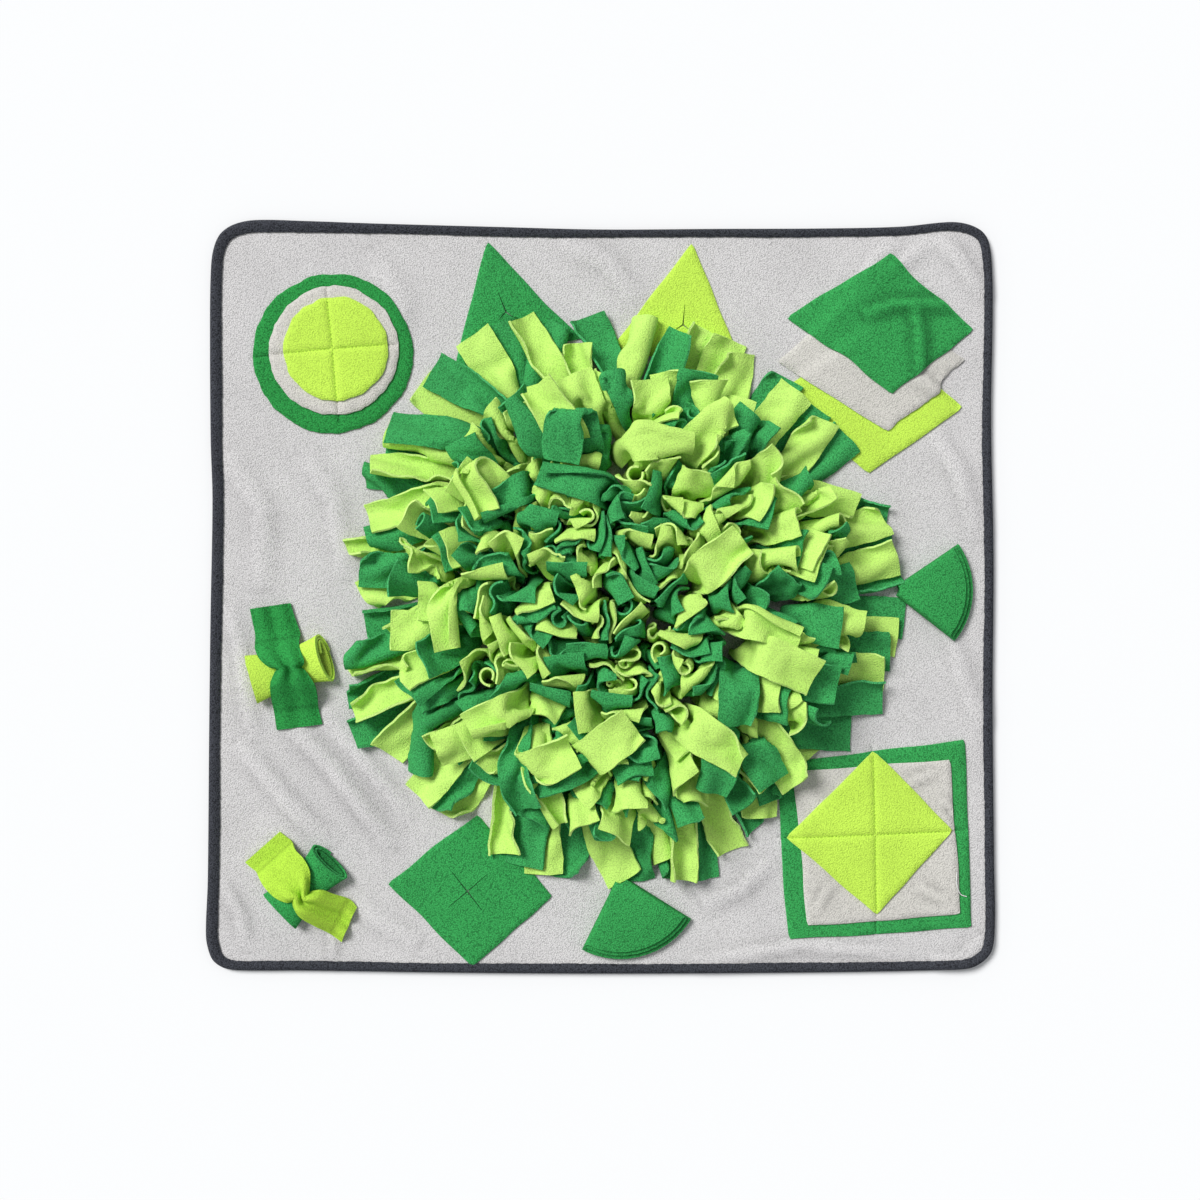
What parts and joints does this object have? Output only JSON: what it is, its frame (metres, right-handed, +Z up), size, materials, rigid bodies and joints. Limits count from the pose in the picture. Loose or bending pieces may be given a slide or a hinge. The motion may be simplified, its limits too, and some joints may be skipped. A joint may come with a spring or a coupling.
{
  "type": "snuffle mat",
  "caption": "Square fleece snuffle mat for a pet: a bound grey panel with a round pile of green and lime strips, and folded, slit and stacked fleece pieces round its rim.",
  "frame": {"origin": "on the surface that the mat lies on, under the middle of its outline", "axes": "+Z up out of the mat, +X along its longer side, +Y towards the side with the two triangles"},
  "size_m": [0.7, 0.67, 0.0614],
  "materials": {
    "fleece_grey": "matte anti-pill fleece",
    "fleece_green": "matte anti-pill fleece",
    "fleece_lime": "matte anti-pill fleece",
    "fleece_pale": "matte anti-pill fleece",
    "binding_charcoal": "matte knit tape"
  },
  "bodies": {
    "root": {"base_panel": "fleece_grey", "edge_binding": "binding_charcoal", "disc_green": "fleece_green", "disc_grey": "fleece_pale", "disc_lime": "fleece_lime", "triangle_green": "fleece_green", "triangle_lime": "fleece_lime", "flap_lime": "fleece_lime", "flap_grey": "fleece_pale", "flap_green": "fleece_green", "diamond_green": "fleece_green", "square_green": "fleece_green", "square_grey": "fleece_pale", "diamond_lime": "fleece_lime", "fan_right": "fleece_green", "fan_bottom": "fleece_green", "roll_lime": "fleece_lime", "strap_green": "fleece_green", "roll_green": "fleece_green", "strap_lime": "fleece_lime", "pile_ring_01": "fleece_lime", "pile_ring_02": "fleece_green", "pile_ring_03": "fleece_lime", "pile_ring_04": "fleece_green", "pile_ring_05": "fleece_lime", "pile_ring_06": "fleece_green", "pile_ring_07": "fleece_lime", "pile_ring_08": "fleece_green", "pile_ring_09": "fleece_lime", "pile_ring_10": "fleece_green", "pile_ring_11": "fleece_lime"}
  },
  "joints": []
}
